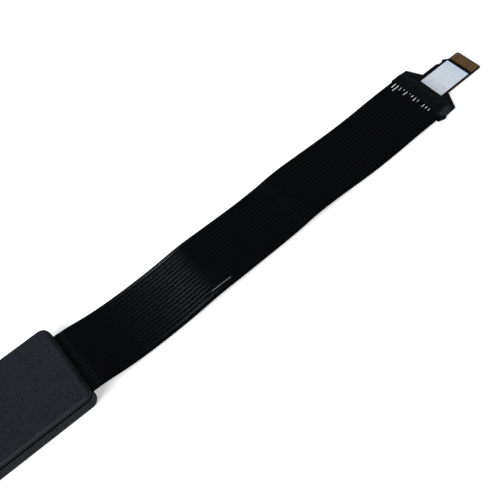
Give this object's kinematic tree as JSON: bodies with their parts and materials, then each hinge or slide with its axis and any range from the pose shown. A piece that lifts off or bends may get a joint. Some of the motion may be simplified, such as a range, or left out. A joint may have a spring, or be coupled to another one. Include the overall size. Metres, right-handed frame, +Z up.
{
  "type": "sd card extension cable",
  "caption": "Flat ribbon extension cable with a moulded housing for a full-size memory card at one end and a thin micro card plug at the other.",
  "frame": {"origin": "middle of the housing's underside, on the surface that the cable lies on", "axes": "+X along the housing's length, from the card mouth to the ribbon exit and the plug; +Y across the housing; +Z up"},
  "size_m": [0.198, 0.0266, 0.0069],
  "materials": {
    "housing_plastic": "fine moulded texture, dark bluish grey",
    "board_laminate": "green solder mask on glass laminate",
    "socket_plastic": "moulded black insulator",
    "socket_steel": "stamped steel strip",
    "contact_bronze": "gold-plated spring bronze",
    "tinned_copper": "tinned strands",
    "solder": "bright solder",
    "ribbon_pvc": "satin black extruded vinyl",
    "plug_laminate": "black solder mask",
    "gold_plate": "gold plate",
    "label_film": "white satin film",
    "sleeve_tape": "black tape, slightly glossy"
  },
  "bodies": {
    "root": {"top_cover": "housing_plastic", "bottom_cover": "housing_plastic", "socket_board": "board_laminate", "socket_base": "socket_plastic", "socket_shell": "socket_steel", "board_wire_ends": "tinned_copper", "board_solder_joints": "solder", "ribbon_cable": "ribbon_pvc", "plug_board": "plug_laminate", "plug_contact_pads": "gold_plate", "plug_label": "label_film", "plug_sleeve": "sleeve_tape", "plug_wire_ends": "tinned_copper", "plug_solder_joints": "solder", "card_contact_1": "contact_bronze", "card_contact_2": "contact_bronze", "card_contact_3": "contact_bronze", "card_contact_4": "contact_bronze", "card_contact_5": "contact_bronze", "card_contact_6": "contact_bronze", "card_contact_7": "contact_bronze", "card_contact_8": "contact_bronze", "card_contact_9": "contact_bronze"}
  },
  "joints": []
}
